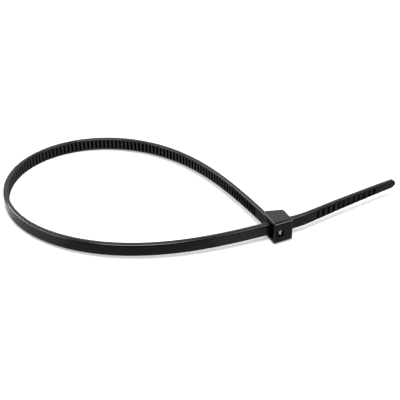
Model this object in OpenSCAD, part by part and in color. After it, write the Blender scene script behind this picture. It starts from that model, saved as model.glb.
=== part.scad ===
// Nylon cable tie, threaded into a loop and lying on the edge of its strap.
// It is one moulding: head with pawl, neck, serrated strap and tapered tail.
// The loop is drawn in plan, the strap's width runs up +Z, and the whole tie then leans
// until it rests on its head and on the far side of the loop.

/* [Strap] */
// Width of the strap
strap_w = 3.7; // [3:0.1:4.8]
// Thickness of the strap over its rails
strap_t = 1.3; // [1.2:0.05:1.6]
// Length along the strap from the head's shoulder to the slot's mouth
loop_len = 192.5; // [170:0.5:230]
// Length of the strap past the slot's far end
tail_len = 36.5; // [33:0.5:60]

/* [Serrations] */
// Smooth strap between the shoulder and the first groove
neck_len = 4.6; // [2:0.1:10]
// Distance from one groove to the next
tooth_pitch = 1.23; // [1.1:0.01:1.6]
// Depth of the grooves
tooth_depth = 0.45; // [0.25:0.05:0.6]
// Run of the sloping side of a groove
tooth_ramp = 0.35; // [0.2:0.05:0.45]
// Width of a groove's flat floor
tooth_floor = 0.38; // [0.25:0.01:0.45]
// Width of the plain rail on each side of the serrations
rail_w = 0.5; // [0.35:0.05:0.7]
// Length of serrations that have come out of the slot
tooth_past = 5.5; // [3:0.5:7]

/* [Tail] */
// Width of the tail at its rounded tip
tip_w = 2.7; // [1.6:0.1:2.9]
// Thickness of the tail at its tip
tip_t = 1.05; // [0.8:0.05:1.2]
// Smooth tail before the first grip groove
grip_start = 8.8; // [7:0.1:10]
// Number of grip grooves
grip_count = 12; // [4:1:12]
// Distance from one grip groove to the next
grip_pitch = 1.8; // [1.4:0.05:1.95]
// Width of a grip groove
grip_w = 0.7; // [0.4:0.05:0.9]
// Depth of a grip groove
grip_depth = 0.45; // [0.3:0.05:0.5]
// Width of the edge left beside the grip grooves
grip_edge = 0.32; // [0.2:0.02:0.5]
// Number of grip grooves before the sunk panel begins
panel_after = 4; // [1:1:4]
// Depth of the sunk panel that holds the other grip grooves
panel_depth = 0.22; // [0.05:0.01:0.25]

/* [Head] */
// Length of the head along the slot
head_len = 5.6; // [5.3:0.1:6.2]
// Wall of the head above and below the slot
side_wall = 1; // [0.7:0.05:1.2]
// Room between the strap's edges and the slot's walls
side_gap = 0.45; // [0.15:0.05:0.6]
// End wall, which the strap's smooth face runs past
end_wall = 0.95; // [0.7:0.05:1.2]
// Gap between the strap and the end wall at the slot's mouth
mouth_gap = 1.6; // [0.8:0.1:1.8]
// Gap between the strap and the abutment at the slot's far end
abut_gap = 0.15; // [0.08:0.01:0.3]
// Length of the ramp that leads from the mouth to the abutment
ramp_len = 2.2; // [1.5:0.1:3]
// Depth of the head between the strap and the shoulder, at the mouth
pawl_room = 2.9; // [2.8:0.05:3.6]
// Wall behind the pawl
shoulder_wall = 0.6; // [0.5:0.05:0.65]
// Depth of the head between the strap's line and the shoulder, at the slot's far end
far_room = 1.1; // [1.05:0.05:1.6]
// Step from the head's mouth face to the neck
neck_step = 0.55; // [0.2:0.05:0.8]
// Rounding of the head's edges at the slot's mouth
mouth_round = 0.25; // [0.1:0.05:0.4]
// Rounding of the head's edges at the slot's far end
far_round = 0.8; // [0.2:0.05:0.8]
// Rounding of the long edges of the end wall
end_round = 0.6; // [0.2:0.05:0.6]

/* [Pawl] */
// Length of the solid block at the mouth that the pawl grows from
block_len = 1.15; // [0.9:0.05:1.2]
// Distance from the mouth to the pawl's tip
pawl_reach = 4.8; // [4.75:0.05:5]
// Thickness of the pawl at its root
pawl_root_t = 1.1; // [0.8:0.05:1.3]
// Thickness of the pawl at its tip
pawl_tip_t = 0.45; // [0.35:0.02:0.5]
// Gap between the pawl and the tops of the strap's teeth
pawl_gap = 0.12; // [0.08:0.01:0.2]
// Gap between the pawl's teeth and the sides of the grooves
mesh_gap = 0.08; // [0.05:0.01:0.12]
// Gap between the pawl and the plain rails of the strap
pawl_side_gap = 0.16; // [0.1:0.01:0.25]
// Bevel at the mouth that guides the strap under the block
lead_in = 0.4; // [0.2:0.05:0.6]
// Gap between the block and the strap
block_gap = 0.1; // [0.06:0.01:0.2]

/* [Gate] */
// Side of the square recess that the moulding gate leaves in the end wall
gate_w = 2.2; // [1.2:0.1:2.6]
// Depth of the recess
gate_depth = 0.4; // [0.1:0.05:0.5]
// Distance from the mouth face to the recess
gate_inset = 0.45; // [0.4:0.05:0.8]
// Distance of the recess's centre below the middle of the head
gate_drop = 0.2; // [0:0.05:0.5]
// Width of the broken-off sprue in the recess
sprue_w = 0.75; // [0.4:0.05:1]
// Height of the broken-off sprue above the recess's floor
sprue_h = 0.35; // [0.1:0.05:0.35]

/* [Lay] */
// Direction of the slot in plan, in degrees from +X
head_turn = 25; // [10:0.5:40]
// Direction in which the neck leaves the shoulder, in degrees from the slot
neck_turn = 93.5; // [90:0.5:98]
// Angle of the strap to the slot where it passes through
pass_turn = -3; // [-3.2:0.1:-2]
// Second wave of the loop's bend, the same from both ends of the loop
bend_2_even = 0.017; // [-0.05:0.001:0.05]
// Second wave of the loop's bend, opposite at its two ends
bend_2_odd = -0.049; // [-0.1:0.001:0.05]
// Third wave of the loop's bend, the same from both ends of the loop
bend_3_even = -0.086; // [-0.15:0.001:0.05]
// Third wave of the loop's bend, opposite at its two ends
bend_3_odd = -0.044; // [-0.1:0.001:0.05]
// Bend of the tail just past the slot, in degrees
tail_bend = 11.5; // [0:0.5:16]
// Length over which the tail bends
tail_bend_len = 8; // [6:0.5:12]
// Curl of the tail past its bend, in degrees from there to its tip
tail_curl = -2.9; // [-6:0.1:4]

/* [Hidden] */
nylon = [0.08, 0.08, 0.09];

// Steps in which the strap's line is worked out, and the facet length that it is drawn with
path_steps = 960;
facet_len = tooth_pitch;
// Facets of a rounded corner and of the tail's round tip
corner_steps = 6;
tip_facets = 32;
// Extra reach of a cutting shape past the surface that it opens
over = 1;
// Length of neck that is sunk in the head, and of pawl that is sunk in the head's solid block
neck_root = 0.9;
pawl_root = 0.5;
// Lean of the steep side of each groove over its depth
tooth_draft = 0.04;
// Outline of the broken-off sprue, as shares of its width
sprue_shape = [[-0.5, 0.5], [0.5, 1], [0.25, -0.5], [0, -1]];
// Where the search for the loop's first wave starts, its step and its number of tries
wave_from = [-0.8, 0];
wave_nudge = 0.001;
wave_tries = 6;

slot_h = strap_w + 2 * side_gap;
head_h = slot_h + 2 * side_wall;
end_n = -(strap_t / 2 + mouth_gap + end_wall);
shoulder_n = strap_t / 2 + pawl_room;
abut_n = head_len * tan(pass_turn) - strap_t / 2 - abut_gap;
serration_w = strap_w - 2 * rail_w;
pawl_w = serration_w - 2 * pawl_side_gap;
slot_run = head_len / cos(pass_turn);
strap_len = loop_len + slot_run + tail_len;

// Plan frame: the slot's mouth is the origin and the strap's centre line passes through it.
// u runs along the slot and n from the strap towards the shoulder.
u_dir = [cos(head_turn), sin(head_turn)];
n_dir = [-sin(head_turn), cos(head_turn)];
function head_point(u, n) = u * u_dir + n * n_dir;

neck_dir = head_turn + neck_turn;
pass_dir = head_turn + pass_turn;
neck_start = head_point(neck_step + strap_t / 2, shoulder_n);
bend_total = 360 + pass_dir - neck_dir;

// Direction of the loop at share v of its length. The bend is even apart from three waves,
// and the first wave is solved so that the loop ends in the slot's mouth.
function wave(v, k, ab) = (ab.x * sin(360 * k * v) + ab.y * (1 - cos(360 * k * v))) / (2 * PI * k);
function loop_dir(v, wave_1) =
    neck_dir + bend_total
    * (v + wave(v, 1, wave_1) + wave(v, 2, [bend_2_even, bend_2_odd]) + wave(v, 3, [bend_3_even, bend_3_odd]));
function heading(a) = [cos(a), sin(a)];
function sum_to(list, i = 0, total = [0, 0]) =
    i == len(list) ? total : sum_to(list, i + 1, total + list[i]);
function loop_miss(wave_1) =
    neck_start + loop_len / path_steps
    * sum_to([for (i = [0:path_steps - 1]) heading(loop_dir((i + 0.5) / path_steps, wave_1))]);
function solve_wave(guess, tries) =
    tries == 0 ? guess :
    let (
        miss = loop_miss(guess),
        by_a = (loop_miss(guess + [wave_nudge, 0]) - miss) / wave_nudge,
        by_b = (loop_miss(guess + [0, wave_nudge]) - miss) / wave_nudge,
        det = by_a.x * by_b.y - by_b.x * by_a.y
    )
    solve_wave(guess - [miss.x * by_b.y - by_b.x * miss.y, by_a.x * miss.y - miss.x * by_a.y] / det, tries - 1);
wave_1 = solve_wave(wave_from, wave_tries);

// Direction and place of the strap's centre line at distance s from the shoulder
function ease(v) = v * v * (3 - 2 * v);
function tail_dir(s) =
    pass_dir + tail_bend * ease(min(max(s / tail_bend_len, 0), 1))
    + tail_curl * max(s - tail_bend_len, 0) / (tail_len - tail_bend_len);
function strap_dir(s) =
    s <= 0 ? neck_dir :
    s < loop_len ? loop_dir(s / loop_len, wave_1) :
    tail_dir(s - loop_len - slot_run);
function walk(start, from, to, steps) =
    [for (i = 0, p = start; i <= steps;
        p = p + (to - from) / steps * heading(strap_dir(from + (to - from) * (i + 0.5) / steps)), i = i + 1) p];
loop_path = walk(neck_start, 0, loop_len, path_steps);
tail_path = walk(slot_run * heading(pass_dir), loop_len + slot_run, strap_len + over, path_steps);
function along(path, v) =
    let (i = min(floor(v * path_steps), path_steps - 1), f = v * path_steps - i)
    path[i] * (1 - f) + path[i + 1] * f;
function centre(s) =
    s < 0 ? neck_start + s * heading(neck_dir) :
    s <= loop_len ? along(loop_path, s / loop_len) :
    s <= loop_len + slot_run ? (s - loop_len) * heading(pass_dir) :
    along(tail_path, (s - loop_len - slot_run) / (tail_len + over));
// The strap's serrated face is on the inside of the loop, at a positive offset.
function strap_point(s, offset) = centre(s) + offset * heading(strap_dir(s) + 90);
function half_t(s) = (strap_t - (strap_t - tip_t) * min(max((s - loop_len - slot_run) / tail_len, 0), 1)) / 2;

// Tail frame: straight from the slot's far end to the tip
tail_start = slot_run * heading(pass_dir);
tail_span = centre(strap_len) - tail_start;
tail_turn = atan2(tail_span.y, tail_span.x);
tip_reach = norm(tail_span);
taper = (strap_w - tip_w) / 2 / tip_reach;

// Lean: the head is taller than the strap is wide, so the tie rests on the corner of the
// head nearest the loop and on the loop's far side, in line with its centre of weight.
far_samples = [for (s = [0:facet_len:loop_len]) centre(s)];
weight_at = sum_to(far_samples) / len(far_samples);
prop_at = head_point(0, shoulder_n);
lean_turn = atan2((weight_at - prop_at).y, (weight_at - prop_at).x);
lean_reach = max([for (p = far_samples) (p - prop_at) * heading(lean_turn)]) + strap_t / 2;
lean = atan((head_h - strap_w) / 2 / lean_reach);

// Place of a plan point at height z once the tie leans
function leaned(p, z) =
    let (run = p * heading(lean_turn), side = p * heading(lean_turn + 90))
    concat(
        (run * cos(lean) + z * sin(lean)) * heading(lean_turn) + side * heading(lean_turn + 90),
        [-run * sin(lean) + z * cos(lean)]
    );
outline_samples = [for (i = [0:path_steps], s = strap_len * i / path_steps, side = [-1, 1], z = [-1, 1])
    leaned(strap_point(s, side * half_t(s)), z * strap_w / 2)];
xs = [for (p = outline_samples) p.x];
ys = [for (p = outline_samples) p.y];
middle = [(min(xs) + max(xs)) / 2, (min(ys) + max(ys)) / 2];
floor_z = leaned(prop_at, -head_h / 2).z;

// Closed outline with each corner cut by an arc of its own radius
function turn_of(a, b, c) = let (p = a - b, q = c - b) acos(p * q / norm(p) / norm(q));
function corner(a, b, c, r) =
    let (
        half = turn_of(a, b, c) / 2,
        p = (a - b) / norm(a - b),
        q = (c - b) / norm(c - b),
        mid = b + (p + q) / norm(p + q) * r / sin(half),
        from = b + p * r / tan(half) - mid,
        to = b + q * r / tan(half) - mid,
        spin = sign(from.x * to.y - from.y * to.x) * (180 - 2 * half)
    )
    [for (i = [0:corner_steps])
        let (a = spin * i / corner_steps)
        mid + [from.x * cos(a) - from.y * sin(a), from.x * sin(a) + from.y * cos(a)]];
function rounded(points, radii) =
    [for (i = [0:len(points) - 1])
        each corner(points[(i + len(points) - 1) % len(points)], points[i], points[(i + 1) % len(points)], radii[i])];

// Extrudes a plan outline evenly above and below the middle of the strap
module slab(points, h) {
    linear_extrude(height = h, center = true)
        polygon(points);
}

// Moves a shape from the head's frame to the plan frame
module in_head() {
    rotate([0, 0, head_turn])
        children();
}

// Sloping outer face of the shoulder, and the inside of its wall
function shoulder_at(u) = shoulder_n - (pawl_room - far_room) * u / head_len;
function relief_at(u) = shoulder_at(u) - shoulder_wall;

module head_body() {
    plan = [[0, end_n], [head_len, end_n], [head_len, shoulder_at(head_len)], [0, shoulder_n]];
    side = [[0, -head_h / 2], [head_len, -head_h / 2], [head_len, head_h / 2], [0, head_h / 2]];
    front = [[end_n, -head_h / 2], [shoulder_n, -head_h / 2], [shoulder_n, head_h / 2], [end_n, head_h / 2]];
    intersection() {
        slab(rounded(plan, [mouth_round, far_round, far_round, mouth_round]), head_h);
        translate([0, shoulder_n + over, 0])
            rotate([90, 0, 0])
                linear_extrude(height = shoulder_n - end_n + 2 * over)
                    polygon(rounded(side, [mouth_round, far_round, far_round, mouth_round]));
        translate([-over, 0, 0])
            rotate([90, 0, 90])
                linear_extrude(height = head_len + 2 * over)
                    polygon(rounded(front, [end_round, mouth_round, mouth_round, end_round]));
    }
}

// Slot with its mouth ramp, its abutment and the relief behind the pawl
module slot() {
    block_n = strap_t / 2 + block_gap;
    slab([
        [-over, abut_n - (mouth_gap - abut_gap) * (ramp_len + over) / ramp_len],
        [ramp_len, abut_n],
        [head_len + over, abut_n],
        [head_len + over, relief_at(head_len + over)],
        [block_len, relief_at(block_len)],
        [block_len, block_n],
        [lead_in, block_n],
        [-over, block_n + over + lead_in]
    ], slot_h);
}

// Square recess of the moulding gate, with the stub of the sprue in it
module gate_recess() {
    translate([gate_inset, end_n - over, -gate_drop - gate_w / 2])
        cube([gate_w, gate_depth + over, gate_w]);
}

module gate_sprue() {
    translate([gate_inset + gate_w / 2, end_n + gate_depth, -gate_drop])
        rotate([90, 0, 0])
            linear_extrude(height = 2 * sprue_h, center = true)
                polygon(sprue_w * sprue_shape);
}

// Tooth of the pawl that sits in the strap's groove that starts at s
function pawl_tooth(s) = [
    [s + mesh_gap, strap_t / 2 + pawl_gap],
    [s + mesh_gap + tooth_ramp, strap_t / 2 - tooth_depth + mesh_gap],
    [s + tooth_ramp + tooth_floor - mesh_gap, strap_t / 2 - tooth_depth + mesh_gap],
    [s + tooth_ramp + tooth_floor - mesh_gap, strap_t / 2 + pawl_gap]
];

// Springy tongue that grows from the block and points at the slot's far end
module pawl() {
    root = block_len - pawl_root;
    starts = [for (s = [neck_len:tooth_pitch:loop_len + pawl_reach])
        if (s > loop_len + block_len && s + tooth_ramp + tooth_floor < loop_len + pawl_reach) s];
    face = [for (s = starts, p = pawl_tooth(s)) strap_point(p.x, p.y)];
    root_n = strap_t / 2 + pawl_gap;
    tip_n = root_n + pawl_reach * tan(pass_turn);
    slab(concat(
        [head_point(root, root_n + root * tan(pass_turn))],
        face,
        [head_point(pawl_reach, tip_n), head_point(pawl_reach, tip_n + pawl_tip_t)],
        [head_point(block_len, root_n + pawl_root_t), head_point(root, root_n + pawl_root_t)]
    ), pawl_w);
}

module head() {
    in_head() {
        difference() {
            head_body();
            slot();
            gate_recess();
        }
        gate_sprue();
    }
    pawl();
}

// Plain strap along the whole centre line
module strap_blank() {
    stops = [for (s = -neck_root; s < strap_len + over; s = s + facet_len) s];
    slab(concat(
        [for (s = stops) strap_point(s, half_t(s))],
        [for (i = [len(stops) - 1:-1:0]) strap_point(stops[i], -half_t(stops[i]))]
    ), strap_w);
}

// Grooves of the serrated face: each slopes down towards the tail and ends in a steep wall
module serrations() {
    for (s = [neck_len:tooth_pitch:loop_len + slot_run + tooth_past]) {
        low = half_t(s) - tooth_depth;
        high = half_t(s) + tooth_depth;
        end = s + tooth_ramp + tooth_floor;
        slab([
            strap_point(s - tooth_ramp, high),
            strap_point(s + tooth_ramp, low),
            strap_point(end, low),
            strap_point(end + tooth_draft, high)
        ], serration_w);
    }
}

// Tapered outline of the tail seen from its side, narrowed all round by inset
module tail_outline(inset) {
    end_r = tip_w / 2 - inset;
    back = 2 * loop_len;
    translate([tail_start.x, tail_start.y, 0])
        rotate([0, 0, tail_turn])
            rotate([90, 0, 0])
                linear_extrude(height = back, center = true) {
                    polygon([
                        [-back, strap_w / 2 + back * taper - inset],
                        [-back, -strap_w / 2 - back * taper + inset],
                        [tip_reach - end_r, -end_r],
                        [tip_reach - end_r, end_r]
                    ]);
                    translate([tip_reach - end_r, 0])
                        circle(r = end_r, $fn = tip_facets);
                }
}

// Finger grip on the tail's smooth face: plain grooves, then grooves in a sunk panel
module grip() {
    first = loop_len + slot_run + grip_start;
    last = first + (grip_count - 1) * grip_pitch + grip_w;
    panel = first + panel_after * grip_pitch;
    stops = [for (s = panel; s < last; s = s + facet_len) s];
    intersection() {
        union() {
            for (i = [0:grip_count - 1]) {
                s = first + i * grip_pitch;
                slab([
                    strap_point(s, -half_t(s) + grip_depth),
                    strap_point(s + grip_w, -half_t(s) + grip_depth),
                    strap_point(s + grip_w, -half_t(s) - over),
                    strap_point(s, -half_t(s) - over)
                ], strap_w);
            }
            slab(concat(
                [for (s = concat(stops, last)) strap_point(s, -half_t(s) + panel_depth)],
                [strap_point(last, -half_t(last) - over), strap_point(panel, -half_t(panel) - over)]
            ), strap_w);
        }
        tail_outline(grip_edge);
    }
}

module strap() {
    difference() {
        intersection() {
            strap_blank();
            tail_outline(0);
        }
        serrations();
        grip();
    }
}

module cable_tie() {
    color(nylon)
        translate([-middle.x, -middle.y, -floor_z])
            rotate([0, 0, lean_turn])
                rotate([0, lean, 0])
                    rotate([0, 0, -lean_turn]) {
                        head();
                        strap();
                    }
}

cable_tie();
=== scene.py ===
"""Looks of the cable tie: one black nylon moulding on a pale floor, with its edges rounded as moulded."""

import math

import bpy
import bmesh
import numpy as np
from mathutils import Matrix, Vector


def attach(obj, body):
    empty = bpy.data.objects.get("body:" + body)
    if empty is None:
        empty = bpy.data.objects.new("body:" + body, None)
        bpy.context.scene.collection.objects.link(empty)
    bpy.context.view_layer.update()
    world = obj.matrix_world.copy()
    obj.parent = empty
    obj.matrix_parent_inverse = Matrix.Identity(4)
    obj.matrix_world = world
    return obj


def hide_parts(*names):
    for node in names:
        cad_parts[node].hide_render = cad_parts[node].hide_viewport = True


MM = 0.001

# Sizes of the moulding in millimetres and turns in degrees, as the part has them
STRAP_W = 3.7
STRAP_T = 1.3
LOOP_LEN = 192.5
TAIL_LEN = 36.5
NECK_LEN = 4.6
TOOTH_PITCH = 1.23
TOOTH_DEPTH = 0.45
TOOTH_RAMP = 0.35
TOOTH_FLOOR = 0.38
RAIL_W = 0.5
TOOTH_PAST = 5.5
TIP_W = 2.7
TIP_T = 1.05
GRIP_START = 8.8
GRIP_COUNT = 12
GRIP_PITCH = 1.8
GRIP_W = 0.7
GRIP_DEPTH = 0.45
GRIP_EDGE = 0.32
PANEL_AFTER = 4
PANEL_DEPTH = 0.22
HEAD_LEN = 5.6
SIDE_WALL = 1
SIDE_GAP = 0.45
END_WALL = 0.95
MOUTH_GAP = 1.6
ABUT_GAP = 0.15
RAMP_LEN = 2.2
PAWL_ROOM = 2.9
SHOULDER_WALL = 0.6
FAR_ROOM = 1.1
NECK_STEP = 0.55
BLOCK_LEN = 1.15
PAWL_REACH = 4.8
PAWL_ROOT_T = 1.1
PAWL_TIP_T = 0.45
PAWL_GAP = 0.12
MESH_GAP = 0.08
PAWL_SIDE_GAP = 0.16
LEAD_IN = 0.4
BLOCK_GAP = 0.1
GATE_W = 2.2
GATE_DEPTH = 0.4
GATE_INSET = 0.45
GATE_DROP = 0.2
HEAD_TURN = 25
NECK_TURN = 93.5
PASS_TURN = -3
WAVE_2 = (0.017, -0.049)
WAVE_3 = (-0.086, -0.044)
TAIL_BEND = 11.5
TAIL_BEND_LEN = 8
TAIL_CURL = -2.9

# What follows from them: heights, and places across the slot as seen from the strap's middle
SLOT_H = STRAP_W + 2 * SIDE_GAP
HEAD_H = SLOT_H + 2 * SIDE_WALL
END_N = -(STRAP_T / 2 + MOUTH_GAP + END_WALL)
SHOULDER_N = STRAP_T / 2 + PAWL_ROOM
SLOT_RUN = HEAD_LEN / math.cos(math.radians(PASS_TURN))
STRAP_LEN = LOOP_LEN + SLOT_RUN + TAIL_LEN

# Fine shapes that only the looks have, in millimetres. Near the tip the strap's roundings are held to a share
# of its half width. A dimple sinks the strap's side face beside each groove.
EDGE_ROUND = 0.28
OUTER_ROUND = 0.5
GROOVE_ROUND = 0.05
ROUND_SHARE = 0.45
LIP_SHARE = 0.1
SINK = 0.06
SINK_AT = 0.08
PLAN_ROUNDS = (0.45, 0.8, 0.9, 0.8)
SIDE_ROUNDS = (0.32, 0.8, 0.8, 0.32)
FRONT_ROUNDS = (0.9, 0.25, 0.25, 0.9)
SLOT_ROUND = 0.55
HEAD_BEVEL = 0.08
MOUTH_BEVEL = 0.24
SPRUE_SHAPE = ((-0.6, 0.45), (0.6, 0.6), (0.2, -0.25), (0.1, -0.85), (-0.2, -0.65))
SPRUE_H = 0.2
SPRUE_AT = (0.2, 0.3)
SPRUE_MID = (GATE_INSET + GATE_W / 2 + SPRUE_AT[0], SPRUE_AT[1] - GATE_DROP)

# How far the neck's and the pawl's roots run into the head, and a cutter past what it cuts
NECK_ROOT = 0.9
PAWL_ROOT = 0.5
OVER = 1

# Steps of the curves, and limits of the mesh in millimetres and degrees. The tip's rings stop at a share of a
# quarter turn, and stations that agree to some decimal places are one.
PATH_STEPS = 960
CORNER_STEPS = 10
ARC_STEPS = 5
BEVEL_STEPS = 3
ROUND_PROFILE = 0.5
PLAIN_STEP = 0.5
TIP_STEPS = 14
TIP_CLOSE = 0.985
STATION_PLACES = 5
NEAR = 0.001
LEAST = 0.005
WELD = 0.002
BEVEL_ABOVE = 40
SMOOTH_BELOW = 38

# Search for the loop's first wave
WAVE_GUESS = (-0.8, 0.0)
WAVE_NUDGE = 0.001
WAVE_ROUNDS = 6

# Nylon: tints, a noise's scale per metre and its detail, and a bump's strength and its depth in metres
NYLON_IOR = 1.53
NYLON_TINTS = ((0.0045, 0.0043, 0.0052, 1), (0.0085, 0.0083, 0.0098, 1))
NYLON_ROUGHNESS = (0.13, 0.2)
TINT_NOISE = (260, 3)
GLOSS_NOISE = (900, 4)
NOISE_RANGE = (0.3, 0.7)
GRAIN_NOISE = (5200, 3)
GRAIN_BUMP = (0.06, 0.00003)
FLOW_NOISE = (420, 2)
FLOW_BUMP = (0.18, 0.00012)

# Painted shade: sunken places are painted near black and lose their gloss. Reach in millimetres, openness, and
# the gloss at its two ends
SHADE_REACH = 0.7
SHADE_SAMPLES = 8
SHADE_RANGE = (0.68, 0.99)
SHADE_GLOSS = (0.01, 0.5)
PAINTED_SHADE_TINT = (0.0008, 0.0008, 0.0009, 1)

# Painted highlight on the sprue's broken face, a white patch that stands for a glint: its colour, and the
# distances in metres at which it starts and is full
GLINT_COLOUR = (0.8, 0.8, 0.82, 1)
GLINT_DEPTH = (0.00012, 0.00008)
GLINT_REACH = (0.00089, 0.00087)

# Studio as the gloss sees it: levels, and the shares of a direction along an axis between which each comes in
GLOSS_TINT = (0.985, 0.965, 1.0, 1)
WORLD_BACK = 1.0
BACK_RANGE = (0.15, 0.5)
BACK_LOW_RANGE = (0.1, 0.3)
WORLD_FRONT = 1.6
FRONT_RANGE = (0.55, 0.72)
FRONT_SIDE_RANGE = (0.25, -0.05)
WORLD_ZENITH = 0.01
ZENITH_RANGE = (0.8, 0.87)

# Soft boxes that face the tie: name, place and size in metres, radiance, and whether it is the gloss that sees
# the box. The other one lights the floor and makes the shadow.
SOFT_BOXES = (
    ("top_box", (0.05, -0.12, 0.7), (0.42, 0.3), 12.6, False),
    ("front_box", (-0.07, -0.42, 0.56), (0.5, 0.26), 12.0, True),
    ("left_box", (-0.6, -0.01, 0.315), (0.92, 0.085), 17.0, True),
    ("mouth_box", (-0.52, 0.29, 0.34), (0.15, 0.26), 7.0, True),
    ("right_box", (0.44, -0.35, 0.33), (0.38, 0.12), 10.0, True),
)

# Floor as the camera sees it
FLOOR_HALF = 2.0
FLOOR_COLOUR = (0.8, 0.8, 0.8, 1)
FLOOR_LIFT = 0.34

# Floor as the gloss sees it: it glows as a sheet whose levels are placed to paint light and shade into the
# tie's reflections, with its level at places along Y. Its left side, a patch by the neck and its right side
# have levels of their own.
# A range says where a part starts and where it is full, in metres.
SHEET_LEVELS = ((-0.034, 0.2), (-0.026, 0.3), (-0.019, 0.15), (-0.002, 0.26), (0.014, 0.68))
SHEET_SPAN = 0.08
SHEET_LEFT = 1.2
SHEET_LEFT_RANGE = (-0.046, -0.06)
SHEET_NEAR_LEFT = 0.45
SHEET_NEAR_LEFT_RANGE = (-0.028, -0.042)
SHEET_LEFT_SIDE = (0.004, -0.004)
SHEET_LEFT_INSIDE = 0.76
SHEET_NECK = 0.45
SHEET_NECK_RANGE = (0.002, 0.008)
SHEET_NECK_SIDE = (-0.016, -0.021)
SHEET_RIGHT = 0.28
SHEET_RIGHT_RANGE = (0.018, 0.024)
SHEET_FRONT_RANGE = (-0.038, -0.034)
SHEET_BACK_RANGE = (0.042, 0.036)

# The photograph's view, in millimetres and degrees: the place at its middle, and the camera's place round it
LOOK_AT = (0.084, -4.44, 2.848)
CAMERA_FAR = 251.96
CAMERA_UP = 34.9
CAMERA_ROUND = 0.07
CAMERA_ROLL = 0.135
PIXELS_PER_MM = 3.6396
IMAGE_PX = 400
SENSOR_W = 36
CLIP_START = 0.01


def heading(degrees):
    """Unit vectors of directions in plan, given in degrees."""
    a = np.radians(degrees)
    return np.stack([np.cos(a), np.sin(a)], -1)


def head_point(u, n):
    """Plan place of a point in the head's frame: u along the slot, n towards the shoulder."""
    return u * heading(HEAD_TURN) + n * heading(HEAD_TURN + 90)


NECK_DIR = HEAD_TURN + NECK_TURN
PASS_DIR = HEAD_TURN + PASS_TURN
NECK_START = head_point(NECK_STEP + STRAP_T / 2, SHOULDER_N)
BEND_TOTAL = 360 + PASS_DIR - NECK_DIR


def wave(v, k, pair):
    """Swing of the loop's bend at share v of its length, for the wave with k turns."""
    w = 2 * math.pi * k
    return (pair[0] * np.sin(w * v) + pair[1] * (1 - np.cos(w * v))) / w


def loop_dir(v, wave_1):
    """Direction of the loop at share v of its length."""
    return NECK_DIR + BEND_TOTAL * (v + wave(v, 1, wave_1) + wave(v, 2, WAVE_2) + wave(v, 3, WAVE_3))


def solve_wave():
    """First wave of the loop's bend, which brings its end to the slot's mouth."""
    middles = (np.arange(PATH_STEPS) + 0.5) / PATH_STEPS
    step = LOOP_LEN / PATH_STEPS

    def miss(pair):
        return NECK_START + step * heading(loop_dir(middles, pair)).sum(0)

    pair = np.array(WAVE_GUESS)
    nudges = np.eye(2) * WAVE_NUDGE
    for _ in range(WAVE_ROUNDS):
        now = miss(pair)
        slope = np.stack([(miss(pair + nudge) - now) / WAVE_NUDGE for nudge in nudges], 1)
        pair = pair - np.linalg.solve(slope, now)
    return pair


WAVE_1 = solve_wave()


def ease(v):
    """Smooth step from 0 to 1."""
    return v * v * (3 - 2 * v)


def strap_dir(s):
    """Direction of the strap at distance s from the shoulder."""
    s = np.asarray(s, float)
    past = s - LOOP_LEN - SLOT_RUN
    curl = TAIL_CURL * np.maximum(past - TAIL_BEND_LEN, 0) / (TAIL_LEN - TAIL_BEND_LEN)
    bend = TAIL_BEND * ease(np.clip(past / TAIL_BEND_LEN, 0, 1)) + curl
    looped = loop_dir(np.clip(s / LOOP_LEN, 0, 1), WAVE_1)
    return np.where(s <= 0, NECK_DIR, np.where(s < LOOP_LEN, looped, PASS_DIR + bend))


def walk(start, low, high):
    """Points of the strap's centre line, evenly spaced between two distances."""
    step = (high - low) / PATH_STEPS
    middles = low + step * (np.arange(PATH_STEPS) + 0.5)
    return np.vstack([start, start + np.cumsum(step * heading(strap_dir(middles)), 0)])


LOOP_PATH = walk(NECK_START, 0, LOOP_LEN)
TAIL_START = SLOT_RUN * heading(PASS_DIR)
TAIL_PATH = walk(TAIL_START, LOOP_LEN + SLOT_RUN, STRAP_LEN + OVER)


def along(path, v):
    """Place at share v of a walked path."""
    at = np.clip(v, 0, 1) * PATH_STEPS
    steps = np.arange(PATH_STEPS + 1)
    return np.stack([np.interp(at, steps, path[:, 0]), np.interp(at, steps, path[:, 1])], -1)


def centre(s):
    """Plan place of the strap's centre line at distance s from the shoulder."""
    s = np.asarray(s, float)[..., None]
    flat = s[..., 0]
    neck = NECK_START + s * heading(NECK_DIR)
    loop = along(LOOP_PATH, flat / LOOP_LEN)
    slot = (s - LOOP_LEN) * heading(PASS_DIR)
    tail = along(TAIL_PATH, (flat - LOOP_LEN - SLOT_RUN) / (TAIL_LEN + OVER))
    past_loop = np.where(s <= LOOP_LEN + SLOT_RUN, slot, tail)
    return np.where(s < 0, neck, np.where(s <= LOOP_LEN, loop, past_loop))


def strap_point(s, offset):
    """Plan place beside the centre line. The serrated face has a positive offset."""
    return centre(s) + np.asarray(offset)[..., None] * heading(strap_dir(s) + 90)


def half_t(s):
    """Half the strap's thickness, which tapers along the tail."""
    past = np.clip((np.asarray(s, float) - LOOP_LEN - SLOT_RUN) / TAIL_LEN, 0, 1)
    return (STRAP_T - (STRAP_T - TIP_T) * past) / 2


TAIL_SPAN = centre(STRAP_LEN) - TAIL_START
TAIL_TURN = math.degrees(math.atan2(TAIL_SPAN[1], TAIL_SPAN[0]))
TIP_REACH = float(np.linalg.norm(TAIL_SPAN))
TIP_R = TIP_W / 2


def half_w(s):
    """Half the strap's width, which tapers along the tail and closes in a round tip."""
    out = (centre(s) - TAIL_START) @ heading(TAIL_TURN)
    out = np.where(np.asarray(s) > LOOP_LEN, out, 0)
    past = out - (TIP_REACH - TIP_R)
    straight = STRAP_W / 2 - (STRAP_W / 2 - TIP_R) * np.clip(out / (TIP_REACH - TIP_R), 0, 1)
    return np.where(past > 0, np.sqrt(np.maximum(TIP_R ** 2 - past ** 2, 0)), straight)


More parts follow.
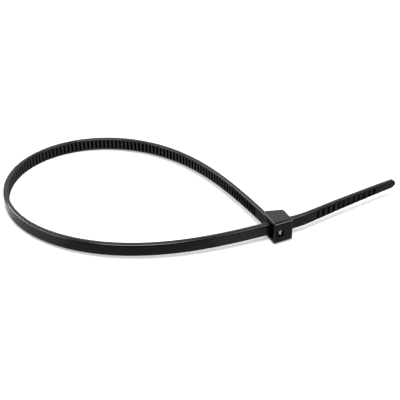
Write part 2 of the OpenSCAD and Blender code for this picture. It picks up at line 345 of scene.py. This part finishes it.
def lean_matrix():
    """How the tie leans on its head and the loop's far side, and where that puts it in the frame."""
    samples = centre(np.arange(0, LOOP_LEN, TOOTH_PITCH))
    prop = head_point(0, SHOULDER_N)
    towards = samples.mean(0) - prop
    turn = math.atan2(towards[1], towards[0])
    reach = ((samples - prop) @ (towards / np.linalg.norm(towards))).max() + STRAP_T / 2
    lean = math.atan((HEAD_H - STRAP_W) / 2 / reach)
    tip = Matrix.Rotation(turn, 4, "Z") @ Matrix.Rotation(lean, 4, "Y") @ Matrix.Rotation(-turn, 4, "Z")
    s = np.linspace(0, STRAP_LEN, PATH_STEPS + 1)
    edge = np.concatenate([strap_point(s, side * half_t(s)) for side in (-1, 1)])
    spots = [tip @ Vector((x, y, z * STRAP_W / 2)) for x, y in edge for z in (-1, 1)]
    low = [min(p[i] for p in spots) for i in range(2)]
    high = [max(p[i] for p in spots) for i in range(2)]
    foot = tip @ Vector((*prop, -HEAD_H / 2))
    shift = Vector((-(low[0] + high[0]) / 2, -(low[1] + high[1]) / 2, -foot.z))
    return Matrix.Scale(MM, 4) @ Matrix.Translation(shift) @ tip


def groove_stops():
    """Stations of the serrations: distance along the strap and depth of the serrated face."""
    r = GROOVE_ROUND
    end = TOOTH_RAMP + TOOTH_FLOOR
    profile = [(-r, 0), (r, r), (TOOTH_RAMP - r / 2, TOOTH_DEPTH - r / 2), (TOOTH_RAMP + r, TOOTH_DEPTH),
               (end - r, TOOTH_DEPTH), (end, TOOTH_DEPTH - r), (end + r / 2, r), (end + 2 * r, 0)]
    starts = np.arange(NECK_LEN, LOOP_LEN + SLOT_RUN + TOOTH_PAST, TOOTH_PITCH)
    return [(start + at, depth) for start in starts for at, depth in profile]


def grip_stops():
    """Stations of the tail's finger grip: distance along the strap and depth of its smooth face."""
    r = GROOVE_ROUND
    first = LOOP_LEN + SLOT_RUN + GRIP_START
    out = []
    for i in range(GRIP_COUNT):
        s = first + i * GRIP_PITCH
        before = PANEL_DEPTH if i > PANEL_AFTER else 0
        after = PANEL_DEPTH if PANEL_AFTER <= i < GRIP_COUNT - 1 else 0
        out += [(s - r, before), (s, before + r), (s + r / 2, GRIP_DEPTH), (s + GRIP_W - r / 2, GRIP_DEPTH),
                (s + GRIP_W, after + r), (s + GRIP_W + r, after)]
    return out


def strap_stations():
    """Distances of all the strap's cross sections, with the groove and grip depth at each."""
    grooves = np.array(groove_stops())
    grips = np.array(grip_stops())
    neck = np.arange(-NECK_ROOT, NECK_LEN, PLAIN_STEP)
    tail = np.arange(grooves[-1, 0], STRAP_LEN - TIP_R, PLAIN_STEP)
    round_tip = STRAP_LEN - TIP_R * (1 - np.sin(np.linspace(0, math.pi / 2 * TIP_CLOSE, TIP_STEPS)))
    s = np.unique(np.concatenate([neck, tail, grooves[:, 0], grips[:, 0], round_tip]).round(STATION_PLACES))
    return s, np.interp(s, grooves[:, 0], grooves[:, 1]), np.interp(s, grips[:, 0], grips[:, 1])


def corner_arc(n_sign, w, t, r):
    """Rounded corner of the cross section's upper half, from the side face to a broad face."""
    turns = np.linspace(0, math.pi / 2, ARC_STEPS)
    return [(w - r + r * math.cos(v), n_sign * (t - r + r * math.sin(v))) for v in turns]


def cross_section(s, groove, grip):
    """Outline of the strap at one station, as (height, offset) pairs all the way round."""
    w = float(half_w(s))
    t = float(half_t(s))
    inner_r = min(EDGE_ROUND, ROUND_SHARE * w)
    outer_r = min(OUTER_ROUND, ROUND_SHARE * w)
    lip = min(GROOVE_ROUND, LIP_SHARE * w)
    serrated = min(STRAP_W / 2 - RAIL_W, w - inner_r - 2 * lip)
    wide = w > GRIP_EDGE + outer_r + 2 * lip
    gripped = min(w - GRIP_EDGE, w - outer_r - lip - LEAST) if wide else w / 2
    sunk = w - SINK * groove / TOOTH_DEPTH if w > STRAP_W / 4 else w
    inner = [(sunk, SINK_AT)] + corner_arc(1, w, t, inner_r)
    inner += [(serrated + lip, t), (serrated, t - min(groove, lip)), (serrated - lip, t - groove)]
    outer = corner_arc(-1, w, t, outer_r)
    outer += [(gripped + lip, -t), (gripped, -t + min(grip, lip)), (gripped - lip, -t + grip)]
    out = inner + [(0, t - groove)] + [(-z, n) for z, n in reversed(inner)]
    return out + [(-z, n) for z, n in outer] + [(0, -t + grip)] + list(reversed(outer))


def mesh_from(name, points, faces):
    """New mesh object in the scene."""
    mesh = bpy.data.meshes.new(name)
    mesh.from_pydata(points, [], faces)
    mesh.validate()
    obj = bpy.data.objects.new(name, mesh)
    bpy.context.scene.collection.objects.link(obj)
    return obj


def face_outwards(obj):
    """Turns all the faces of a closed mesh outwards."""
    work = bmesh.new()
    work.from_mesh(obj.data)
    bmesh.ops.recalc_face_normals(work, faces=work.faces)
    work.to_mesh(obj.data)
    work.free()


def make_strap():
    """Neck, serrated strap and grip tail, swept along the centre line."""
    s, grooves, grips = strap_stations()
    rings = []
    for at, groove, grip in zip(s, grooves, grips):
        section = np.array(cross_section(at, groove, grip))
        plan = strap_point(np.full(len(section), at), section[:, 1])
        rings.append(np.column_stack([plan, section[:, 0]]))
    n = len(rings[0])
    faces = [(k * n + i, k * n + (i + 1) % n, (k + 1) * n + (i + 1) % n, (k + 1) * n + i)
             for k in range(len(rings) - 1) for i in range(n)]
    faces += [tuple(range(n)), tuple(range((len(rings) - 1) * n, len(rings) * n))]
    strap = mesh_from("strap", np.concatenate(rings).tolist(), faces)
    face_outwards(strap)
    return strap


def corner(a, b, c, r):
    """Arc that rounds the corner b between a and c."""
    a, b, c = (np.array(v, float) for v in (a, b, c))
    p = (a - b) / np.linalg.norm(a - b)
    q = (c - b) / np.linalg.norm(c - b)
    half = math.acos(float(p @ q)) / 2
    mid = b + (p + q) / np.linalg.norm(p + q) * r / math.sin(half)
    start = b + p * r / math.tan(half) - mid
    stop = b + q * r / math.tan(half) - mid
    spin = math.copysign(math.pi - 2 * half, start[0] * stop[1] - start[1] * stop[0])
    turns = np.linspace(0, spin, CORNER_STEPS + 1)
    return [mid + start @ np.array([[math.cos(v), math.sin(v)], [-math.sin(v), math.cos(v)]]) for v in turns]


def rounded(points, radii):
    """Closed outline with each corner rounded by its own radius."""
    before = points[-1:] + points[:-1]
    after = points[1:] + points[:1]
    return [spot for a, b, c, r in zip(before, points, after, radii) for spot in corner(a, b, c, r)]


def prism(name, points, low, high, place):
    """Extrudes an outline. place(a, b, h) says where an outline point goes at height h."""
    n = len(points)
    spots = [place(*p, low) for p in points] + [place(*p, high) for p in points]
    faces = [(i, (i + 1) % n, n + (i + 1) % n, n + i) for i in range(n)]
    obj = mesh_from(name, spots, faces + [tuple(range(n)), tuple(range(n, 2 * n))])
    face_outwards(obj)
    return obj


def upright(u, n, h):
    """Place of a plan outline's point at height h, in the head's own frame."""
    return (u, n, h)


def slab(name, points, h):
    """Plan outline, extruded evenly above and below the middle of the strap."""
    return prism(name, points, -h / 2, h / 2, upright)


def bake_modifiers(obj):
    """Replaces an object's mesh with its evaluated one."""
    graph = bpy.context.evaluated_depsgraph_get()
    mesh = bpy.data.meshes.new_from_object(obj.evaluated_get(graph))
    obj.modifiers.clear()
    obj.data = mesh


def combine(obj, other, operation):
    """Joins, cuts or intersects a mesh with another, which is used up."""
    step = obj.modifiers.new("combine", "BOOLEAN")
    step.operation = operation
    step.solver = "EXACT"
    step.object = other
    bake_modifiers(obj)
    bpy.data.objects.remove(other)


def shoulder_at(u):
    """Where the head's shoulder face lies at distance u along the slot."""
    return SHOULDER_N - (PAWL_ROOM - FAR_ROOM) * u / HEAD_LEN


def relief_at(u):
    """Where the relief behind the pawl ends at distance u along the slot."""
    return shoulder_at(u) - SHOULDER_WALL


def make_head_body():
    """Head without its slot: a plan outline crossed with a side and a front outline."""
    half = HEAD_H / 2
    plan = [(0, END_N), (HEAD_LEN, END_N), (HEAD_LEN, shoulder_at(HEAD_LEN)), (0, SHOULDER_N)]
    side = [(0, -half), (HEAD_LEN, -half), (HEAD_LEN, half), (0, half)]
    front = [(END_N, -half), (SHOULDER_N, -half), (SHOULDER_N, half), (END_N, half)]
    body = slab("head", rounded(plan, PLAN_ROUNDS), HEAD_H + 2 * OVER)
    combine(body, prism("side", rounded(side, SIDE_ROUNDS),
                        END_N - OVER, SHOULDER_N + OVER, lambda u, h, n: (u, n, h)), "INTERSECT")
    combine(body, prism("front", rounded(front, FRONT_ROUNDS),
                        -OVER, HEAD_LEN + OVER, lambda n, h, u: (u, n, h)), "INTERSECT")
    return body


def make_slot():
    """Slot with its mouth ramp, its abutment and the relief behind the pawl."""
    abut = HEAD_LEN * math.tan(math.radians(PASS_TURN)) - STRAP_T / 2 - ABUT_GAP
    block = STRAP_T / 2 + BLOCK_GAP
    outline = [(-OVER, abut - (MOUTH_GAP - ABUT_GAP) * (RAMP_LEN + OVER) / RAMP_LEN), (RAMP_LEN, abut),
               (HEAD_LEN + OVER, abut), (HEAD_LEN + OVER, relief_at(HEAD_LEN + OVER)),
               (BLOCK_LEN, relief_at(BLOCK_LEN)), (BLOCK_LEN, block), (LEAD_IN, block),
               (-OVER, block + OVER + LEAD_IN)]
    slot = slab("slot", outline, SLOT_H)
    soften(slot, SLOT_ROUND, lambda p: p.x < LEAD_IN + NEAR and p.y > 0)
    return slot


def make_gate_recess():
    """Square recess in the end wall, where the gate was."""
    low = -GATE_DROP - GATE_W / 2
    outline = [(GATE_INSET, END_N - OVER), (GATE_INSET + GATE_W, END_N - OVER),
               (GATE_INSET + GATE_W, END_N + GATE_DEPTH), (GATE_INSET, END_N + GATE_DEPTH)]
    return prism("recess", outline, low, low + GATE_W, upright)


def make_sprue():
    """Stub of the broken sprue in the gate recess."""
    return prism("sprue", SPRUE_SHAPE, END_N + GATE_DEPTH - SPRUE_H, END_N + GATE_DEPTH + SPRUE_H,
                 lambda u, h, n: (SPRUE_MID[0] + u, n, SPRUE_MID[1] + h))


def make_pawl():
    """Springy tongue with the teeth that sit in the strap's grooves."""
    root = BLOCK_LEN - PAWL_ROOT
    root_n = STRAP_T / 2 + PAWL_GAP
    drift = math.tan(math.radians(PASS_TURN))
    face = []
    for s in np.arange(NECK_LEN, LOOP_LEN + PAWL_REACH, TOOTH_PITCH):
        if s > LOOP_LEN + BLOCK_LEN and s + TOOTH_RAMP + TOOTH_FLOOR < LOOP_LEN + PAWL_REACH:
            tooth_end = s + TOOTH_RAMP + TOOTH_FLOOR - MESH_GAP
            tooth_n = STRAP_T / 2 - TOOTH_DEPTH + MESH_GAP
            face += [(s + MESH_GAP, root_n), (s + MESH_GAP + TOOTH_RAMP, tooth_n), (tooth_end, tooth_n),
                     (tooth_end, root_n)]
    tip_n = root_n + PAWL_REACH * drift
    axes = np.stack([heading(HEAD_TURN), heading(HEAD_TURN + 90)], 1)
    outline = [(root, root_n + root * drift)] + [tuple(strap_point(s, n) @ axes) for s, n in face]
    outline += [(PAWL_REACH, tip_n), (PAWL_REACH, tip_n + PAWL_TIP_T), (BLOCK_LEN, root_n + PAWL_ROOT_T),
                (root, root_n + PAWL_ROOT_T)]
    half = STRAP_W / 2 - RAIL_W - PAWL_SIDE_GAP
    return prism("pawl", outline, -half, half, upright)


def soften(obj, width, where):
    """Rounds those sharp edges of a mesh whose two ends both pass a test."""
    sharp = math.radians(BEVEL_ABOVE)
    work = bmesh.new()
    work.from_mesh(obj.data)
    edges = [e for e in work.edges if e.calc_face_angle(0) > sharp and all(where(v.co) for v in e.verts)]
    bmesh.ops.bevel(work, geom=edges, offset=width, segments=BEVEL_STEPS, profile=ROUND_PROFILE,
                    affect="EDGES", clamp_overlap=True)
    work.to_mesh(obj.data)
    work.free()


def make_head():
    """Head with its slot, pawl, gate recess and sprue stub, turned to its place in plan."""
    gate_mid = GATE_INSET + GATE_W / 2
    gate_half = GATE_W / 2 + NEAR
    head = make_head_body()
    combine(head, make_slot(), "DIFFERENCE")
    soften(head, MOUTH_BEVEL, lambda p: p.x < NEAR)
    soften(head, HEAD_BEVEL, lambda p: p.x > HEAD_LEN - NEAR)
    combine(head, make_gate_recess(), "DIFFERENCE")
    soften(head, HEAD_BEVEL, lambda p: p.y < END_N + NEAR and abs(p.x - gate_mid) < gate_half)
    combine(head, make_sprue(), "UNION")
    pawl = make_pawl()
    soften(pawl, GROOVE_ROUND, lambda p: True)
    combine(head, pawl, "UNION")
    head.data.transform(Matrix.Rotation(math.radians(HEAD_TURN), 4, "Z"))
    return head


def weld(obj):
    """Closes the hairline seams that the cuts leave."""
    work = bmesh.new()
    work.from_mesh(obj.data)
    bmesh.ops.remove_doubles(work, verts=work.verts, dist=WELD)
    bmesh.ops.dissolve_degenerate(work, edges=work.edges, dist=WELD)
    work.to_mesh(obj.data)
    work.free()


def make_tie():
    """The whole moulding as one closed mesh, leaned and placed in the frame."""
    tie = make_strap()
    combine(tie, make_head(), "UNION")
    weld(tie)
    tie.name = "nylon_tie"
    tie.data.name = "nylon_tie"
    tie.data.transform(lean_matrix())
    tie.data.shade_smooth()
    tie.data.set_sharp_from_angle(angle=math.radians(SMOOTH_BELOW))
    weigh = tie.modifiers.new("weigh", "WEIGHTED_NORMAL")
    weigh.keep_sharp = True
    return tie


def new_tree(owner, output):
    """Empty node tree of a material or a world, and its output node."""
    owner.use_nodes = True
    tree = owner.node_tree
    tree.nodes.clear()
    return tree, tree.nodes.new(output)


def feed(tree, node, inputs):
    """Gives each input of a node its value, or links it to the output that is given instead."""
    for name, source in inputs.items():
        if isinstance(source, bpy.types.NodeSocket):
            tree.links.new(source, node.inputs[name])
        else:
            node.inputs[name].default_value = source
    return node


def add(tree, kind, inputs):
    """New node of a kind, with its inputs fed."""
    return feed(tree, tree.nodes.new(kind), inputs)


def remap(tree, source, reach, levels, shape="SMOOTHSTEP"):
    """Goes from one level to another as a value crosses a range, and stays level beyond it."""
    step = tree.nodes.new("ShaderNodeMapRange")
    step.interpolation_type = shape
    ends = {"From Min": reach[0], "From Max": reach[1], "To Min": levels[0], "To Max": levels[1]}
    return feed(tree, step, {"Value": source, **ends}).outputs["Result"]


def merge(tree, operation, *values):
    """Number that a Math node makes of others."""
    step = tree.nodes.new("ShaderNodeMath")
    step.operation = operation
    return feed(tree, step, dict(enumerate(values))).outputs["Value"]


def merge_vectors(tree, operation, *values):
    """Outputs of a Vector Math node. Its Value is a number and its Vector a vector."""
    step = tree.nodes.new("ShaderNodeVectorMath")
    step.operation = operation
    return feed(tree, step, dict(enumerate(values))).outputs


def blend(tree, share, a, b):
    """Colour that goes from a to b as the share goes from 0 to 1."""
    mix = tree.nodes.new("ShaderNodeMix")
    mix.data_type = "RGBA"
    return feed(tree, mix, {"Factor": share, "A": a, "B": b}).outputs["Result"]


def noise(tree, scale, detail):
    """Noise in the moulding's own metres."""
    place = tree.nodes.new("ShaderNodeTexCoord").outputs["Object"]
    return add(tree, "ShaderNodeTexNoise", {"Vector": place, "Scale": scale, "Detail": detail}).outputs["Fac"]


def bump(tree, height, strength, distance, **under):
    """Normal that follows a height, laid over another Normal where one is given."""
    inputs = {"Height": height, "Strength": strength, "Distance": distance, **under}
    return add(tree, "ShaderNodeBump", inputs).outputs["Normal"]


def split(tree, coordinates):
    """X, Y and Z of a place or a direction."""
    place = tree.nodes.new("ShaderNodeTexCoord").outputs[coordinates]
    return add(tree, "ShaderNodeSeparateXYZ", {"Vector": place}).outputs


def by_ray(tree, mirrored, seen):
    """Shader that shows the camera one thing and every reflection another."""
    camera_ray = tree.nodes.new("ShaderNodeLightPath").outputs["Is Camera Ray"]
    return add(tree, "ShaderNodeMixShader", {"Fac": camera_ray, 1: mirrored, 2: seen}).outputs["Shader"]


def painted_glint_share(tree):
    """Share of the painted highlight on the sprue's broken face: 1 on its face, 0 elsewhere."""
    outwards = Vector((*heading(HEAD_TURN - 90), 0))
    spot = Vector((*head_point(SPRUE_MID[0], END_N + GATE_DEPTH - SPRUE_H), SPRUE_MID[1]))
    place = tree.nodes.new("ShaderNodeTexCoord").outputs["Object"]
    away = merge_vectors(tree, "SUBTRACT", place, lean_matrix() @ spot)["Vector"]
    depth = merge(tree, "ABSOLUTE", merge_vectors(tree, "DOT_PRODUCT", away, outwards)["Value"])
    reach = merge_vectors(tree, "LENGTH", away)["Value"]
    on_face = remap(tree, depth, GLINT_DEPTH, (0, 1))
    return merge(tree, "MULTIPLY", on_face, remap(tree, reach, GLINT_REACH, (0, 1)))


def nylon_material():
    """Black nylon 6.6: near-black, semi-gloss, with the fine grain and slow gloss changes of a moulding,
    painted shade in its hollows and a painted highlight on the sprue.
    """
    material = bpy.data.materials.new("black_nylon")
    tree, out = new_tree(material, "ShaderNodeOutputMaterial")
    tint = blend(tree, remap(tree, noise(tree, *TINT_NOISE), NOISE_RANGE, (0, 1), "LINEAR"), *NYLON_TINTS)
    roughness = remap(tree, noise(tree, *GLOSS_NOISE), NOISE_RANGE, NYLON_ROUGHNESS, "LINEAR")
    # Painted shade: ambient occlusion darkens the colour and the gloss in the grooves, the slot and the
    # recesses
    shade = add(tree, "ShaderNodeAmbientOcclusion", {"Distance": SHADE_REACH * MM})
    shade.samples = SHADE_SAMPLES
    open_share = shade.outputs["AO"]
    tint = blend(tree, remap(tree, open_share, SHADE_RANGE, (0, 1)), PAINTED_SHADE_TINT, tint)
    fine = bump(tree, noise(tree, *GRAIN_NOISE), *GRAIN_BUMP)
    shader = add(tree, "ShaderNodeBsdfPrincipled", {
        # Painted highlight: a white patch on the sprue's face stands for a glint
        "Base Color": blend(tree, painted_glint_share(tree), tint, GLINT_COLOUR),
        "Roughness": roughness,
        "IOR": NYLON_IOR,
        "Specular IOR Level": remap(tree, open_share, SHADE_RANGE, SHADE_GLOSS),
        "Normal": bump(tree, noise(tree, *FLOW_NOISE), *FLOW_BUMP, Normal=fine),
    })
    feed(tree, out, {"Surface": shader.outputs["BSDF"]})
    return material


def painted_reflection_along_y(tree, y):
    """Level of the sheet at places along Y."""
    ramp = tree.nodes.new("ShaderNodeValToRGB")
    stops = ramp.color_ramp.elements
    stops.remove(stops[1])
    for i, (at, level) in enumerate(SHEET_LEVELS):
        share = (at + SHEET_SPAN) / (2 * SHEET_SPAN)
        stop = stops[0] if i == 0 else stops.new(share)
        stop.position = share
        stop.color = (level, level, level, 1)
    share = remap(tree, y, (-SHEET_SPAN, SHEET_SPAN), (0, 1), "LINEAR")
    return feed(tree, ramp, {"Fac": share}).outputs["Color"]


def painted_reflection_level(tree):
    """Brightness of the floor's glow in the tie's reflections, placed to paint light and shade into them."""
    place = split(tree, "Object")
    x, y = place["X"], place["Y"]
    inside = remap(tree, x, SHEET_NEAR_LEFT_RANGE, (1, SHEET_LEFT_INSIDE))
    near_left = remap(tree, x, SHEET_NEAR_LEFT_RANGE, (0, SHEET_NEAR_LEFT))
    far_left = remap(tree, x, SHEET_LEFT_RANGE, (0, SHEET_LEFT))
    left = merge(tree, "MAXIMUM", near_left, far_left)
    left = merge(tree, "MULTIPLY", left, remap(tree, y, SHEET_LEFT_SIDE, (0, 1)))
    neck = remap(tree, x, SHEET_NECK_RANGE, (0, SHEET_NECK))
    neck = merge(tree, "MULTIPLY", neck, remap(tree, x, SHEET_RIGHT_RANGE, (1, 0)))
    neck = merge(tree, "MULTIPLY", neck, remap(tree, y, SHEET_NECK_SIDE, (0, 1)))
    right = remap(tree, x, SHEET_RIGHT_RANGE, (0, SHEET_RIGHT))
    level = merge(tree, "MULTIPLY", painted_reflection_along_y(tree, y), inside)
    for patch in (left, neck, right):
        level = merge(tree, "MAXIMUM", level, patch)
    for edge in (SHEET_FRONT_RANGE, SHEET_BACK_RANGE):
        level = merge(tree, "MULTIPLY", level, remap(tree, y, edge, (0, 1)))
    return level


def floor_material():
    """Pale floor: white to the camera, with the shadow kept, and in reflections a glow whose levels paint light
    and shade into the tie's gloss.
    """
    material = bpy.data.materials.new("pale_floor")
    tree, out = new_tree(material, "ShaderNodeOutputMaterial")
    matt = add(tree, "ShaderNodeBsdfDiffuse", {"Color": FLOOR_COLOUR}).outputs["BSDF"]
    lift = add(tree, "ShaderNodeEmission", {"Strength": FLOOR_LIFT}).outputs["Emission"]
    pale = add(tree, "ShaderNodeAddShader", {0: matt, 1: lift}).outputs["Shader"]
    # Painted reflection: for every ray but the camera's, the floor glows at levels placed to lay light and
    # shade on the tie
    sheet = add(tree, "ShaderNodeEmission", {"Color": GLOSS_TINT, "Strength": painted_reflection_level(tree)})
    feed(tree, out, {"Surface": by_ray(tree, sheet.outputs["Emission"], pale)})
    return material


def make_floor():
    """Large flat floor under the tie, which isn't part of it."""
    corners = [(x * FLOOR_HALF, y * FLOOR_HALF, 0) for x, y in ((-1, -1), (1, -1), (1, 1), (-1, 1))]
    floor = mesh_from("floor", corners, [(0, 1, 2, 3)])
    floor.data.materials.append(floor_material())


def make_world():
    """White studio. In reflections it is bright only behind the tie and high up in front of it."""
    world = bpy.data.worlds.new("studio")
    tree, out = new_tree(world, "ShaderNodeOutputWorld")
    way = split(tree, "Generated")
    back = remap(tree, way["Y"], BACK_RANGE, (0, WORLD_BACK))
    back = merge(tree, "MULTIPLY", back, remap(tree, way["Z"], BACK_LOW_RANGE, (0, 1)))
    front = remap(tree, way["Z"], FRONT_RANGE, (0, WORLD_FRONT))
    front = merge(tree, "MULTIPLY", front, remap(tree, way["Y"], FRONT_SIDE_RANGE, (0, 1)))
    level = merge(tree, "MAXIMUM", back, front)
    level = merge(tree, "MULTIPLY", level, remap(tree, way["Z"], ZENITH_RANGE, (1, WORLD_ZENITH)))
    sky = add(tree, "ShaderNodeBackground", {"Color": GLOSS_TINT, "Strength": level}).outputs["Background"]
    white = add(tree, "ShaderNodeBackground", {"Strength": 1.0}).outputs["Background"]
    feed(tree, out, {"Surface": by_ray(tree, sky, white)})
    bpy.context.scene.world = world


def make_soft_box(name, place, size, radiance, for_gloss):
    """Rectangular lamp that faces the tie and lights either the gloss or the matt surfaces."""
    lamp = bpy.data.lights.new(name, "AREA")
    lamp.shape = "RECTANGLE"
    lamp.size, lamp.size_y = size
    lamp.energy = radiance * math.pi * size[0] * size[1]
    obj = bpy.data.objects.new(name, lamp)
    obj.location = place
    obj.rotation_euler = (-obj.location).to_track_quat("-Z", "Y").to_euler()
    obj.visible_glossy = for_gloss
    obj.visible_diffuse = not for_gloss
    bpy.context.scene.collection.objects.link(obj)


def make_camera():
    """Camera at the photograph's viewing angle."""
    up = math.radians(CAMERA_UP)
    side = math.radians(CAMERA_ROUND)
    away = Vector((-math.sin(side) * math.cos(up), -math.cos(side) * math.cos(up), math.sin(up)))
    look = (-away).to_track_quat("-Z", "Y").to_matrix() @ Matrix.Rotation(math.radians(CAMERA_ROLL), 3, "Z")
    camera = bpy.data.cameras.new("view")
    camera.sensor_width = SENSOR_W
    camera.lens = PIXELS_PER_MM * CAMERA_FAR / IMAGE_PX * SENSOR_W
    camera.clip_start = CLIP_START
    obj = bpy.data.objects.new("view", camera)
    obj.location = Vector(LOOK_AT) * MM + away * CAMERA_FAR * MM
    obj.rotation_euler = look.to_euler()
    bpy.context.scene.collection.objects.link(obj)
    bpy.context.scene.camera = obj


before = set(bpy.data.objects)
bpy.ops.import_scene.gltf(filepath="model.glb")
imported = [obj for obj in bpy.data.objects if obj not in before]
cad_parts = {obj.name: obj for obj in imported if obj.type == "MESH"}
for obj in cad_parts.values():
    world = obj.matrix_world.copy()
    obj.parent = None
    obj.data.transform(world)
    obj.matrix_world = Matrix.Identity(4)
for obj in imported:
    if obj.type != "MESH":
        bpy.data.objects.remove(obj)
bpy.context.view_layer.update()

bpy.context.scene.view_settings.view_transform = "Standard"
make_world()
make_floor()
for box in SOFT_BOXES:
    make_soft_box(*box)
make_camera()

tie = make_tie()
tie.data.materials.clear()
tie.data.materials.append(nylon_material())
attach(tie, "root")
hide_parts("cable_tie")
